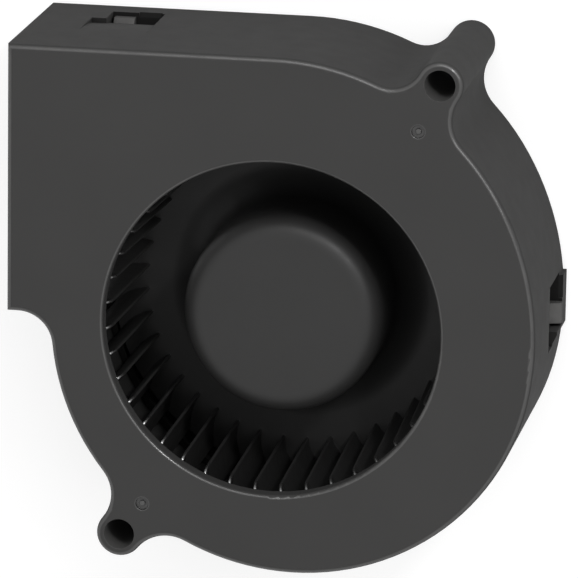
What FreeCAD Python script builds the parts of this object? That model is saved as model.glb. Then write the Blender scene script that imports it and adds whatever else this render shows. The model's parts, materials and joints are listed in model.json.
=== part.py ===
import FreeCAD, Part
import math
import os

# Brushless DC scroll blower, 75 mm class, lying on its rear face.
# Millimetres. The origin is on the rotor's axis at the rear face, +Z points out of the inlet
# eye and the outlet mouth faces -X.

# Two heights closer than this count as the same
SAME = 1e-4

# Housing envelope and walls
DEPTH = 30.0
WALL = 2.2
INLET_PLATE = 1.8
COVER_PLATE = 2.0
INLET_GAP = 0.55
INLET_LIP_H = 0.6
INLET_LIP_W = 1.2
INLET_EDGE_R = 0.5
EDGE_R = 0.8
COVER_CHAMFER = 0.5

# Blade wheel's radius, and the gap from it to the scroll's wall, which grows round the axis
WHEEL_R = 28.0
SCROLL_GAP_LEFT = 1.3
SCROLL_GAP_BOTTOM = 5.05
SCROLL_GAP_RIGHT = 6.95
SCROLL_GAP_TOP = 8.7

# How much larger two of the scroll's arcs are than their neighbours, and where arcs join
LOWER_LEFT_GROWTH = 1.5
UPPER_RIGHT_GROWTH = 7.65
RIGHT_JOIN_DEG = -10.0
UPPER_JOIN_DEG = 30.0

# Outlet mouth
MOUTH_REACH = 6.3
OUTLET_LOW_Y = 0.55
NECK_R = 5.0

# Mounting ears: how far each hole's centre lies outside its scroll arc, and the blends
EAR_R = 3.3
EAR_HOLE_R = 2.2
EAR_UPPER_OUT = 4.489
EAR_UPPER_DEG = 55.621
EAR_LOWER_OUT = 4.594
EAR_LOWER_DEG = -128.88
EAR_BLEND_R = 5.5
EAR_BLEND_TOP_R = 4.5

# Gate wells on the inlet face: how far each lies inside its scroll arc
GATE_WELL_R = 0.95
GATE_WELL_DEPTH = 0.5
GATE_NUB_R = 0.4
GATE_NUB_DROP = 0.2
GATE_UPPER_IN = 2.57
GATE_UPPER_DEG = 53.36
GATE_LOWER_IN = 1.13
GATE_LOWER_DEG = -129.53

# Snap clips that hold the rear cover
CLIP_WINDOW_W = 3.8
CLIP_WINDOW_LOW = 4.6
CLIP_WINDOW_H = 2.6
CLIP_BLOCK_W = 3.3
CLIP_BLOCK_BEVEL = 0.6
CLIP_SLOT_W = 0.45
CLIP_LEAD_W = 2.1
CLIP_LEAD_LOW = 9.4
POCKET_DEPTH = 1.7
POCKET_TOP = 18.5
HOOK_ARM_T = 1.2
HOOK_GAP = 0.2
HOOK_SIDE_GAP = 0.4
HOOK_TOOTH_T = 1.1
TOP_HOOK_SINK = 0.55
SIDE_HOOK_SINK = -0.1
TOP_CLIP_IN = 11.6
RIGHT_CLIP_Y = -1.3
BOTTOM_CLIP_X = 4.0
SIDE_PAD_PROUD = 0.45
SIDE_PAD_RUN_OUT = 0.8

# Locating rib on the rear cover
RIB_T = 0.9
RIB_H = 1.5
RIB_GAP = 0.1

# Impeller
BLADE_COUNT = 41
BLADE_T = 0.8
BLADE_ARC_R = 7.0
BLADE_START_DEG = -94.0
BLADE_END_DEG = -30.0
BLADE_REACH = 5.4
BLADE_RAKE = 0.85
BLADE_CORNER = 1.4
WHEEL_TOP_GAP = 1.3
BLADE_SINK = 0.4
BACK_PLATE_LOW = 3.0
BACK_PLATE_T = 1.0
TIP_RING_W = 0.9
TIP_RING_H = 1.2
HUB_DROP = 4.5
HUB_SHOULDER_R = 3.0
HUB_WALL = 1.25
HUB_TOP_T = 1.5
FLARE_R = 5.0

# Motor
YOKE_T = 1.0
YOKE_LOW = 6.0
MAGNET_T = 1.6
MAGNET_LOW = 6.5
MAGNET_TOP_GAP = 2.9
AIR_GAP = 0.4
CORE_LOW = 7.4
CORE_TOP_GAP = 6.1
CORE_HUB_WALL = 1.7
WINDING_ROOM = 2.25
POLE_COUNT = 4
POLE_W = 3.0
SHOE_T = 1.1
SHOE_ARC_DEG = 74.0
INSULATOR_T = 0.8
INSULATOR_STEP = 0.3
INSULATOR_LUG_REACH = 1.9
INSULATOR_LUG_W = 2.4
COIL_T = 1.2
COIL_CORNER_R = 0.95
COIL_GAP = 0.05
COIL_CLEAR = 0.2
PIN_R = 0.3
PIN_OUT = 1.0
PIN_COUNT = 3
PIN_TAIL = 0.4
PIN_SEAT = 0.2

# Shaft and bearings (3 x 8 x 4 mm)
SHAFT_R = 1.5
SHAFT_LOW = 2.0
BEARING_R = 4.0
BEARING_W = 4.0
BEARING_LOW = 3.6
BALL_COUNT = 7
BALL_GAP = 0.03
SHIELD_T = 0.2
SHIELD_INSET = 0.15
SHIELD_GAP = 0.2
CAGE_W = 0.6
CAGE_T = 0.45
CAGE_H = 1.7
CAGE_GAP = 0.08

# Depth of a race and radius of a ball, as shares of the room between shaft and bearing tube
RACE_SHARE = 0.3
BALL_SHARE = 0.3

# Bush, bearing tube, retaining ring and spring
BUSH_R = 4.0
BUSH_NECK_R = 3.0
BUSH_FLANGE_T = 0.9
TUBE_WALL = 1.0
TUBE_LOW = 1.0
TUBE_STEP = 0.6
SEAT_WALL = 1.6
RING_T = 0.4
RING_R = 2.5
RING_GROOVE_DEPTH = 0.3
RING_MOUTH_DEG = 70.0
SPRING_WIRE_R = 0.22
SPRING_WIRE_SIDES = 6
SPRING_R = 1.9
SPRING_TURNS = 2.0
SPRING_ROOM = 1.8

# Drive board and what is soldered to it
BOARD_GAP = 1.1
BOARD_LOW = 3.6
BOARD_T = 1.2
BOARD_HOLE_GAP = 0.1
HALL_SIZE = (3.0, 1.6, 1.3)
HALL_INSET = 1.15
CHIP_SIZE = (4.4, 3.9, 1.1)
CAPACITOR_SIZE = (3.2, 1.6, 1.2)
RESISTOR_SIZE = (1.6, 0.8, 0.5)
RESISTOR_COUNT = 3
RESISTOR_STEP_DEG = 24.0
CHIP_ANGLE_DEG = 180.0
CAPACITOR_ANGLE_DEG = 90.0
PART_INSET = 2.8

# Lead outlet in the rear cover
LEAD_GROOVE_W = 3.2
LEAD_GROOVE_DEPTH = 1.3
LEAD_HOLE_INSET = 2.6
LEAD_ANGLE_DEG = -62.0


def off_arc(centre, radius, out, degrees):
    """Point that lies out beyond an arc, or inside it where out is negative."""
    angle = math.radians(degrees)
    reach = radius + out
    return (centre[0] + reach * math.cos(angle), centre[1] + reach * math.sin(angle))


# Values that follow from the ones above
INNER_TOP = DEPTH - INLET_PLATE
REACH_LEFT = WHEEL_R + SCROLL_GAP_LEFT + WALL
REACH_BOTTOM = WHEEL_R + SCROLL_GAP_BOTTOM + WALL
REACH_RIGHT = WHEEL_R + SCROLL_GAP_RIGHT + WALL
REACH_TOP = WHEEL_R + SCROLL_GAP_TOP + WALL
LOWER_LEFT_R = (REACH_LEFT + REACH_BOTTOM) / 2.0 + LOWER_LEFT_GROWTH
OUTLET_X = -REACH_LEFT - MOUTH_REACH
TOP_CLIP_X = OUTLET_X + TOP_CLIP_IN
LOWER_LEFT_C = (LOWER_LEFT_R - REACH_LEFT, LOWER_LEFT_R - REACH_BOTTOM)
LOWER_RIGHT_R = REACH_RIGHT - LOWER_LEFT_C[0]
LOWER_RIGHT_C = (LOWER_LEFT_C[0], LOWER_RIGHT_R - REACH_BOTTOM)
RIGHT_JOIN = math.radians(RIGHT_JOIN_DEG)
UPPER_JOIN = math.radians(UPPER_JOIN_DEG)
UPPER_RIGHT_R = LOWER_RIGHT_R + UPPER_RIGHT_GROWTH
UPPER_RIGHT_C = (
    LOWER_RIGHT_C[0] - UPPER_RIGHT_GROWTH * math.cos(RIGHT_JOIN),
    LOWER_RIGHT_C[1] - UPPER_RIGHT_GROWTH * math.sin(RIGHT_JOIN),
)
TOP_DROP = (UPPER_RIGHT_C[1] + UPPER_RIGHT_R - REACH_TOP) / (1.0 - math.sin(UPPER_JOIN))
TOP_R = UPPER_RIGHT_R - TOP_DROP
TOP_C = (
    UPPER_RIGHT_C[0] + TOP_DROP * math.cos(UPPER_JOIN),
    UPPER_RIGHT_C[1] + TOP_DROP * math.sin(UPPER_JOIN),
)
NECK_C = (
    LOWER_LEFT_C[0]
    - math.sqrt((LOWER_LEFT_R + NECK_R) ** 2 - (OUTLET_LOW_Y - NECK_R - LOWER_LEFT_C[1]) ** 2),
    OUTLET_LOW_Y - NECK_R,
)
EAR_UPPER = off_arc(TOP_C, TOP_R, EAR_UPPER_OUT, EAR_UPPER_DEG)
EAR_LOWER = off_arc(LOWER_LEFT_C, LOWER_LEFT_R, EAR_LOWER_OUT, EAR_LOWER_DEG)
GATE_WELL_UPPER = off_arc(TOP_C, TOP_R, -GATE_UPPER_IN, GATE_UPPER_DEG)
GATE_WELL_LOWER = off_arc(LOWER_LEFT_C, LOWER_LEFT_R, -GATE_LOWER_IN, GATE_LOWER_DEG)
POCKET_RUN = POCKET_TOP - CLIP_WINDOW_LOW
POCKET_R = (POCKET_RUN ** 2 + POCKET_DEPTH ** 2) / (2.0 * POCKET_DEPTH)
WHEEL_TOP = INNER_TOP - WHEEL_TOP_GAP
BLADE_FOOT_R = WHEEL_R - BLADE_REACH
BLADE_TIP_R = BLADE_FOOT_R + BLADE_RAKE
BLADE_CORNER_Z = WHEEL_TOP - BLADE_CORNER
INLET_R = BLADE_TIP_R + INLET_GAP
HUB_FACE_Z = WHEEL_TOP - HUB_DROP
PLATE_TOP = BACK_PLATE_LOW + BACK_PLATE_T
TUBE_R = BEARING_R + TUBE_WALL
CORE_HUB_R = TUBE_R + CORE_HUB_WALL
CORE_R = CORE_HUB_R + WINDING_ROOM + SHOE_T
MAGNET_R = CORE_R + AIR_GAP + MAGNET_T
YOKE_R = MAGNET_R + YOKE_T
HUB_R = YOKE_R + HUB_WALL
YOKE_TOP = HUB_FACE_Z - HUB_TOP_T
YOKE_UNDER = YOKE_TOP - YOKE_T
CORE_TOP = YOKE_UNDER - CORE_TOP_GAP
INSULATOR_LUG_R = CORE_HUB_R + INSULATOR_LUG_REACH
PIN_CIRCLE_R = CORE_HUB_R + PIN_OUT
BUSH_LOW = YOKE_UNDER - BUSH_FLANGE_T
TUBE_TOP = BUSH_LOW - SPRING_ROOM
BEARING_HIGH = TUBE_TOP - BEARING_W
BALL_CIRCLE_R = (SHAFT_R + BEARING_R) / 2.0
BEARING_ROOM = BEARING_R - SHAFT_R
RACE_T = RACE_SHARE * BEARING_ROOM
BALL_R = BALL_SHARE * BEARING_ROOM
BOARD_R = HUB_R - BACK_PLATE_T - BOARD_GAP
BOARD_TOP = BOARD_LOW + BOARD_T
HALL_R = MAGNET_R - HALL_INSET
PART_CIRCLE_R = BOARD_R - PART_INSET
LEAD_HOLE_R = BOARD_R - LEAD_HOLE_INSET
BLADE_PITCH_DEG = 360.0 / BLADE_COUNT
POLE_PITCH_DEG = 360.0 / POLE_COUNT


def vec(x, y, z=0.0):
    return FreeCAD.Vector(x, y, z)


def on_circle(centre, radius, angle, z=0.0):
    """Point at an angle (radians) on a circle round a centre."""
    return vec(centre[0] + radius * math.cos(angle), centre[1] + radius * math.sin(angle), z)


def angle_of(centre, point):
    return math.atan2(point[1] - centre[1], point[0] - centre[0])


def arc(centre, radius, start, end):
    """Arc edge from one angle to another (radians), through the angle half-way."""
    middle = (start + end) / 2.0
    return Part.Arc(
        on_circle(centre, radius, start),
        on_circle(centre, radius, middle),
        on_circle(centre, radius, end),
    ).toShape()


def line(a, b):
    return Part.LineSegment(a, b).toShape()


def face_of(edges):
    return Part.Face(Part.Wire(edges))


def polygon(points):
    corners = [vec(*p) for p in points]
    return Part.Face(Part.makePolygon(corners + corners[:1]))


def revolved(points):
    """Solid of revolution round Z from (radius, height) corners."""
    corners = [vec(r, 0.0, z) for r, z in points]
    profile = Part.Face(Part.makePolygon(corners + corners[:1]))
    return profile.revolve(vec(0, 0, 0), vec(0, 0, 1), 360)


def cylinder(radius, low, high, centre=(0.0, 0.0)):
    return Part.makeCylinder(radius, high - low, vec(centre[0], centre[1], low))


def ring(outer, inner, low, high):
    return cylinder(outer, low, high).cut(cylinder(inner, low, high))


def block(x_low, x_high, y_low, y_high, z_low, z_high):
    return Part.makeBox(x_high - x_low, y_high - y_low, z_high - z_low, vec(x_low, y_low, z_low))


def turned(shape, degrees):
    copy = shape.copy()
    copy.rotate(vec(0, 0, 0), vec(0, 0, 1), degrees)
    return copy


def fused(shapes):
    return shapes[0].multiFuse(shapes[1:]).removeSplitter()


def export(shape, node):
    shape.exportStep("parts/%s.step" % node)


def blend_circle(centre_a, radius_a, centre_b, radius_b, radius, side):
    """Centre of a circle that touches two circles from outside, on one side of their line."""
    gap = math.hypot(centre_b[0] - centre_a[0], centre_b[1] - centre_a[1])
    reach_a = radius_a + radius
    reach_b = radius_b + radius
    swing = math.acos((reach_a ** 2 + gap ** 2 - reach_b ** 2) / (2.0 * reach_a * gap))
    angle = angle_of(centre_a, centre_b) + side * swing
    return (centre_a[0] + reach_a * math.cos(angle), centre_a[1] + reach_a * math.sin(angle))


def wrapped(start, end, turn):
    """End angle moved by full turns so that the arc from start runs the way turn says."""
    while turn > 0 and end < start:
        end += 2.0 * math.pi
    while turn < 0 and end > start:
        end -= 2.0 * math.pi
    return end


def ear_edges(before, after, ear, blend_before, blend_after):
    """Blend, ear tip and blend, walking counter-clockwise from one scroll arc to the next.

    Returns the edges and the angles at which the two scroll arcs end and begin.
    """
    (centre_a, radius_a), (centre_b, radius_b) = before, after
    first = blend_circle(centre_a, radius_a, ear, EAR_R, blend_before, -1)
    second = blend_circle(centre_b, radius_b, ear, EAR_R, blend_after, 1)
    leave = angle_of(centre_a, first)
    join = angle_of(centre_b, second)
    start = leave + math.pi
    edges = [arc(first, blend_before, start, wrapped(start, angle_of(first, ear), -1))]
    tip = angle_of(ear, first)
    edges.append(arc(ear, EAR_R, tip, wrapped(tip, angle_of(ear, second), 1)))
    start = angle_of(second, ear)
    edges.append(arc(second, blend_after, start, wrapped(start, join + math.pi, -1)))
    return edges, leave, join


def scroll_arcs(inset):
    """The scroll's four arcs as (centre, radius), all moved inwards by inset."""
    return (
        (LOWER_LEFT_C, LOWER_LEFT_R - inset),
        (LOWER_RIGHT_C, LOWER_RIGHT_R - inset),
        (UPPER_RIGHT_C, UPPER_RIGHT_R - inset),
        (TOP_C, TOP_R - inset),
    )


def channel_face(inset, mouth_x):
    """Face of the scroll without ears, moved inwards by inset and cut off at mouth_x."""
    lower_left, lower_right, upper_right, top = scroll_arcs(inset)
    quarter = math.pi / 2.0
    neck_end = angle_of(LOWER_LEFT_C, NECK_C)
    edges = [
        arc(*lower_left, neck_end, -quarter),
        arc(*lower_right, -quarter, RIGHT_JOIN),
        arc(*upper_right, RIGHT_JOIN, UPPER_JOIN),
        arc(*top, UPPER_JOIN, quarter),
    ]
    top_y = REACH_TOP - inset
    low_y = OUTLET_LOW_Y + inset
    edges.append(line(vec(TOP_C[0], top_y), vec(mouth_x, top_y)))
    edges.append(line(vec(mouth_x, top_y), vec(mouth_x, low_y)))
    edges.append(line(vec(mouth_x, low_y), vec(NECK_C[0], low_y)))
    edges.append(arc(NECK_C, NECK_R + inset, quarter, neck_end + math.pi))
    return face_of(Part.__sortEdges__(edges))


def outline_face():
    """Face of the whole housing outline, with both ears."""
    lower_left, lower_right, upper_right, top = scroll_arcs(0.0)
    quarter = math.pi / 2.0
    lower_ear, lower_leave, lower_join = ear_edges(
        lower_left, lower_left, EAR_LOWER, EAR_BLEND_R, EAR_BLEND_R
    )
    upper_ear, upper_leave, upper_join = ear_edges(
        top, top, EAR_UPPER, EAR_BLEND_R, EAR_BLEND_TOP_R
    )
    neck_end = angle_of(LOWER_LEFT_C, NECK_C)
    left = OUTLET_X
    low = OUTLET_LOW_Y
    edges = [arc(*lower_left, neck_end, lower_leave)]
    edges += lower_ear
    edges.append(arc(*lower_left, lower_join, -quarter))
    edges.append(arc(*lower_right, -quarter, RIGHT_JOIN))
    edges.append(arc(*upper_right, RIGHT_JOIN, UPPER_JOIN))
    edges.append(arc(*top, UPPER_JOIN, upper_leave))
    edges += upper_ear
    edges.append(arc(*top, upper_join, quarter))
    edges.append(line(vec(TOP_C[0], REACH_TOP), vec(left, REACH_TOP)))
    edges.append(line(vec(left, REACH_TOP), vec(left, low)))
    edges.append(line(vec(left, low), vec(NECK_C[0], low)))
    edges.append(arc(NECK_C, NECK_R, quarter, neck_end + math.pi))
    return face_of(Part.__sortEdges__(edges))


def edges_at(shape, z):
    """Edges of a shape that lie wholly at one height."""
    flat = []
    for edge in shape.Edges:
        box = edge.BoundBox
        if abs(box.ZMin - z) < SAME and abs(box.ZMax - z) < SAME:
            flat.append(edge)
    return flat


def slab(face, low, high):
    moved = face.copy()
    moved.translate(vec(0, 0, low))
    return moved.extrude(vec(0, 0, high - low))


# Snap clips. Each is drawn in its own frame, with x along the wall, y outwards from the clip's
# outer face and z up, and is then carried to its place on the housing.
def clip_places():
    """(x, y, turn in degrees, mirrored, how far the pad stands proud, hook's sink) of each clip."""
    side_y = SIDE_PAD_PROUD
    return (
        (TOP_CLIP_X, REACH_TOP, 0.0, False, 0.0, TOP_HOOK_SINK),
        (REACH_RIGHT + side_y, RIGHT_CLIP_Y, -90.0, True, side_y, SIDE_HOOK_SINK),
        (BOTTOM_CLIP_X, -REACH_BOTTOM - side_y, 180.0, True, side_y, SIDE_HOOK_SINK),
    )


def placed(shape, place):
    x, y, turn, mirrored = place[:4]
    copy = shape.mirror(vec(0, 0, 0), vec(1, 0, 0)) if mirrored else shape.copy()
    copy.rotate(vec(0, 0, 0), vec(0, 0, 1), turn)
    copy.translate(vec(x, y, 0))
    return copy


def prism_x(points, x_low, x_high):
    """Solid with a (y, z) outline between two x values."""
    corners = [vec(x_low, y, z) for y, z in points]
    profile = Part.Face(Part.makePolygon(corners + corners[:1]))
    return profile.extrude(vec(x_high - x_low, 0, 0))


def ramp_depth(z):
    """Depth of a clip's ramp under the wall's outer surface: an arc that runs out at POCKET_TOP."""
    return POCKET_R - math.sqrt(POCKET_R ** 2 - (POCKET_TOP - z) ** 2)


def pocket(x_low, x_high, low, proud, bevel=0.0):
    """Recess with an arc for its floor, deepest at low, where its end wall may have a bevel."""
    middle = (low + POCKET_TOP) / 2.0
    floor = Part.Arc(
        vec(x_low, -proud - ramp_depth(low), low),
        vec(x_low, -proud - ramp_depth(middle), middle),
        vec(x_low, -proud, POCKET_TOP),
    ).toShape()
    rest = [(-proud, POCKET_TOP), (WALL, POCKET_TOP), (WALL, low - bevel)]
    if bevel:
        rest += [(0.0, low - bevel), (-bevel, low)]
    rest.append((-proud - ramp_depth(low), low))
    sides = Part.makePolygon([vec(x_low, y, z) for y, z in rest])
    return face_of([floor] + sides.Edges).extrude(vec(x_high - x_low, 0, 0))


def clip_cut(proud):
    """What a clip takes out of the front shell: ramp, window and relief slot."""
    half = CLIP_WINDOW_W / 2.0
    block_end = half + CLIP_BLOCK_W
    slot_end = block_end + CLIP_SLOT_W
    inside = -(WALL + proud + RIB_GAP)
    window_top = CLIP_WINDOW_LOW + CLIP_WINDOW_H
    cuts = [
        pocket(-half, half, CLIP_WINDOW_LOW, proud),
        pocket(half, block_end, CLIP_WINDOW_LOW, proud, CLIP_BLOCK_BEVEL),
        pocket(block_end, slot_end, CLIP_WINDOW_LOW, proud),
        pocket(-half - CLIP_LEAD_W, -half, CLIP_LEAD_LOW, proud),
        block(-half, half, inside, WALL, CLIP_WINDOW_LOW, window_top),
        block(block_end, slot_end, inside, WALL, CLIP_WINDOW_LOW, window_top),
    ]
    return fused(cuts)


def clip_pad(low, high):
    """Flat pad that carries a clip on a curved wall and runs out at one end."""
    left = -CLIP_WINDOW_W / 2.0 - CLIP_LEAD_W
    right = CLIP_WINDOW_W / 2.0 + CLIP_BLOCK_W
    flat = left + 2.0 * SIDE_PAD_RUN_OUT
    points = [(left, -WALL), (left, -SIDE_PAD_RUN_OUT), (flat, 0.0), (right, 0.0), (right, -WALL)]
    return slab(polygon(points), low, high)


def hook(proud, sink):
    """Snap hook of the rear cover: a flat arm, and a tooth at its end with a ramp to lead it in."""
    face_y = -(WALL + proud + HOOK_GAP)
    half = CLIP_WINDOW_W / 2.0
    tooth_low = CLIP_WINDOW_LOW + HOOK_GAP
    tooth_high = CLIP_WINDOW_LOW + CLIP_WINDOW_H - HOOK_GAP
    arm = block(-half, half, face_y - HOOK_ARM_T, face_y, COVER_PLATE / 2.0, tooth_high)
    points = [
        (face_y, tooth_low),
        (-sink, tooth_low),
        (-sink, tooth_low + HOOK_TOOTH_T),
        (face_y, tooth_high),
    ]
    tooth = prism_x(points, HOOK_SIDE_GAP - half, half - HOOK_SIDE_GAP)
    return arm.fuse(tooth)


def ear_holes(low, high):
    return [cylinder(EAR_HOLE_R, low, high, ear) for ear in (EAR_UPPER, EAR_LOWER)]


def gate_well(place):
    """Shallow round recess with a small nub, left by the mould's gate."""
    low = DEPTH - GATE_WELL_DEPTH
    well = cylinder(GATE_WELL_R, low, DEPTH + GATE_WELL_DEPTH, place)
    return well.cut(cylinder(GATE_NUB_R, low, DEPTH - GATE_NUB_DROP, place))


def front_housing():
    shell = slab(outline_face(), COVER_PLATE, DEPTH)
    shell = shell.makeFillet(EDGE_R, edges_at(shell, DEPTH))
    for place in clip_places():
        if place[4]:
            shell = shell.fuse(placed(clip_pad(COVER_PLATE, CLIP_LEAD_LOW), place))
    shell = shell.cut(slab(channel_face(WALL, OUTLET_X - WALL), COVER_PLATE - WALL, INNER_TOP))
    lip = cylinder(INLET_R + INLET_LIP_W, INNER_TOP - INLET_LIP_H, INNER_TOP)
    shell = shell.fuse(lip)
    shell = shell.cut(cylinder(INLET_R, INNER_TOP - WALL, DEPTH + WALL))
    eye = 2.0 * math.pi * INLET_R
    rims = [edge for edge in edges_at(shell, DEPTH) if abs(edge.Length - eye) < SAME]
    shell = shell.makeFillet(INLET_EDGE_R, rims)
    cuts = ear_holes(0.0, DEPTH + WALL)
    cuts += [gate_well(GATE_WELL_UPPER), gate_well(GATE_WELL_LOWER)]
    cuts += [placed(clip_cut(place[4]), place) for place in clip_places()]
    for tool in cuts:
        shell = shell.cut(tool)
    return shell.removeSplitter()


def lead_outlet():
    """Slot through the cover beside the board, and the groove that takes the leads outwards."""
    half = LEAD_GROOVE_W / 2.0
    slot = block(LEAD_HOLE_R - half, LEAD_HOLE_R + half, -half, half, 0.0, COVER_PLATE)
    groove = block(LEAD_HOLE_R, 2.0 * REACH_RIGHT, -half, half, 0.0, LEAD_GROOVE_DEPTH)
    return turned(slot.fuse(groove), LEAD_ANGLE_DEG)


def rear_housing():
    cover = slab(outline_face(), 0.0, COVER_PLATE)
    cover = cover.makeChamfer(COVER_CHAMFER, edges_at(cover, 0.0))
    outer_inset = WALL + RIB_GAP
    rib = slab(channel_face(outer_inset, OUTLET_X), COVER_PLATE, COVER_PLATE + RIB_H)
    room = channel_face(outer_inset + RIB_T, OUTLET_X - WALL)
    rib = rib.cut(slab(room, COVER_PLATE, COVER_PLATE + RIB_H))
    seat = cylinder(TUBE_R + SEAT_WALL, COVER_PLATE, BOARD_LOW)
    pieces = [cover, rib, seat]
    for place in clip_places():
        pieces.append(placed(hook(place[4], place[5]), place))
        if place[4]:
            pieces.append(placed(clip_pad(COVER_CHAMFER, COVER_PLATE), place))
    cover = fused(pieces)
    cuts = ear_holes(-WALL, DEPTH)
    cuts.append(cylinder(TUBE_R, TUBE_LOW, DEPTH))
    cuts.append(lead_outlet())
    for tool in cuts:
        cover = cover.cut(tool)
    return cover.removeSplitter()


# Blade wheel
def blade_envelope():
    """Ring that all blades are trimmed to: raked inner edge and chamfered inner corner."""
    foot = PLATE_TOP - BLADE_SINK
    return revolved([
        (BLADE_FOOT_R, foot),
        (WHEEL_R, foot),
        (WHEEL_R, WHEEL_TOP),
        (BLADE_TIP_R + BLADE_CORNER, WHEEL_TOP),
        (BLADE_TIP_R, BLADE_CORNER_Z),
    ])


def blade():
    """One forward-curved blade: a circular arc that starts out radially."""
    centre = (BLADE_FOOT_R, BLADE_ARC_R)
    outer = BLADE_ARC_R + BLADE_T / 2.0
    inner = BLADE_ARC_R - BLADE_T / 2.0
    start = math.radians(BLADE_START_DEG)
    end = math.radians(BLADE_END_DEG)
    edges = [
        arc(centre, outer, start, end),
        line(on_circle(centre, outer, end), on_circle(centre, inner, end)),
        arc(centre, inner, end, start),
        line(on_circle(centre, inner, start), on_circle(centre, outer, start)),
    ]
    return slab(face_of(edges), BACK_PLATE_LOW, WHEEL_TOP).common(blade_envelope())


def hub_and_plate():
    """Hub cup and flared back plate, drawn as one profile and turned round the axis."""
    flare_c = (HUB_R + FLARE_R, PLATE_TOP + FLARE_R)
    under_r = FLARE_R + BACK_PLATE_T
    slant = math.sqrt(0.5)
    shoulder_c = (HUB_R - HUB_SHOULDER_R, HUB_FACE_Z - HUB_SHOULDER_R)

    def at(r, z):
        return vec(r, 0.0, z)

    def bend(start, middle, end):
        return Part.Arc(at(*start), at(*middle), at(*end)).toShape()

    shoulder = bend(
        (shoulder_c[0], HUB_FACE_Z),
        (shoulder_c[0] + HUB_SHOULDER_R * slant, shoulder_c[1] + HUB_SHOULDER_R * slant),
        (HUB_R, shoulder_c[1]),
    )
    flare = bend(
        (HUB_R, flare_c[1]),
        (flare_c[0] - FLARE_R * slant, flare_c[1] - FLARE_R * slant),
        (flare_c[0], PLATE_TOP),
    )
    under = bend(
        (flare_c[0], BACK_PLATE_LOW),
        (flare_c[0] - under_r * slant, flare_c[1] - under_r * slant),
        (flare_c[0] - under_r, flare_c[1]),
    )
    edges = [
        line(at(0.0, HUB_FACE_Z), at(shoulder_c[0], HUB_FACE_Z)),
        shoulder,
        line(at(HUB_R, shoulder_c[1]), at(HUB_R, flare_c[1])),
        flare,
        line(at(flare_c[0], PLATE_TOP), at(WHEEL_R, PLATE_TOP)),
        line(at(WHEEL_R, PLATE_TOP), at(WHEEL_R, BACK_PLATE_LOW)),
        line(at(WHEEL_R, BACK_PLATE_LOW), at(flare_c[0], BACK_PLATE_LOW)),
        under,
        line(at(flare_c[0] - under_r, flare_c[1]), at(YOKE_R, flare_c[1] + HUB_WALL)),
        line(at(YOKE_R, flare_c[1] + HUB_WALL), at(YOKE_R, YOKE_TOP)),
        line(at(YOKE_R, YOKE_TOP), at(0.0, YOKE_TOP)),
        line(at(0.0, YOKE_TOP), at(0.0, HUB_FACE_Z)),
    ]
    return face_of(edges).revolve(vec(0, 0, 0), vec(0, 0, 1), 360)


def impeller():
    one = blade()
    pieces = [hub_and_plate()]
    pieces += [turned(one, BLADE_PITCH_DEG * i) for i in range(BLADE_COUNT)]
    pieces.append(ring(WHEEL_R, WHEEL_R - TIP_RING_W, WHEEL_TOP - TIP_RING_H, WHEEL_TOP))
    return fused(pieces)


# Rotor
def rotor_yoke():
    return revolved([
        (BUSH_NECK_R, YOKE_TOP),
        (YOKE_R, YOKE_TOP),
        (YOKE_R, YOKE_LOW),
        (MAGNET_R, YOKE_LOW),
        (MAGNET_R, YOKE_UNDER),
        (BUSH_NECK_R, YOKE_UNDER),
    ])


def magnet_ring():
    return ring(MAGNET_R, MAGNET_R - MAGNET_T, MAGNET_LOW, YOKE_UNDER - MAGNET_TOP_GAP)


def shaft_bush():
    flange_top = BUSH_LOW + BUSH_FLANGE_T
    return revolved([
        (SHAFT_R, BUSH_LOW),
        (BUSH_R, BUSH_LOW),
        (BUSH_R, flange_top),
        (BUSH_NECK_R, flange_top),
        (BUSH_NECK_R, YOKE_TOP),
        (SHAFT_R, YOKE_TOP),
    ])


def shaft():
    groove = SHAFT_R - RING_GROOVE_DEPTH
    ring_low = BEARING_LOW - RING_T
    chamfer = RING_GROOVE_DEPTH
    return revolved([
        (0.0, SHAFT_LOW),
        (SHAFT_R - chamfer, SHAFT_LOW),
        (SHAFT_R, SHAFT_LOW + chamfer),
        (SHAFT_R, ring_low),
        (groove, ring_low),
        (groove, BEARING_LOW),
        (SHAFT_R, BEARING_LOW),
        (SHAFT_R, YOKE_TOP),
        (0.0, YOKE_TOP),
    ])


def retaining_ring():
    """Flat spring clip with a mouth on one side, snapped into the shaft's groove."""
    groove = SHAFT_R - RING_GROOVE_DEPTH
    clip = ring(RING_R, groove, BEARING_LOW - RING_T, BEARING_LOW)
    half = math.radians(RING_MOUTH_DEG / 2.0)
    reach = 2.0 * RING_R
    side = reach * math.sin(half)
    mouth = polygon([(0.0, 0.0), (reach, -side), (reach, side)])
    return clip.cut(slab(mouth, 0.0, DEPTH))


def preload_spring():
    """Coil spring, with a six-sided wire, that pushes the upper inner race off the bush."""
    low = TUBE_TOP + SPRING_WIRE_R
    height = SPRING_ROOM - 2.0 * SPRING_WIRE_R
    path = Part.makeHelix(height / SPRING_TURNS, height, SPRING_R)
    step = 2.0 * math.pi / SPRING_WIRE_SIDES
    section = []
    for i in range(SPRING_WIRE_SIDES + 1):
        angle = step * (i + 0.5)
        section.append(
            vec(SPRING_R + SPRING_WIRE_R * math.cos(angle), 0.0, SPRING_WIRE_R * math.sin(angle))
        )
    coil = Part.Wire(path.Edges).makePipeShell([Part.makePolygon(section)], True, True)
    coil.translate(vec(0, 0, low))
    return coil


# Ball bearings
def ball_room(z):
    """Ring-shaped groove that the balls run in, a little larger than they are."""
    return Part.makeTorus(BALL_CIRCLE_R, BALL_R + BALL_GAP, vec(0, 0, z))


def inner_race(low):
    middle = low + BEARING_W / 2.0
    return ring(SHAFT_R + RACE_T, SHAFT_R, low, low + BEARING_W).cut(ball_room(middle))


def outer_race(low):
    middle = low + BEARING_W / 2.0
    return ring(BEARING_R, BEARING_R - RACE_T, low, low + BEARING_W).cut(ball_room(middle))


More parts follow.
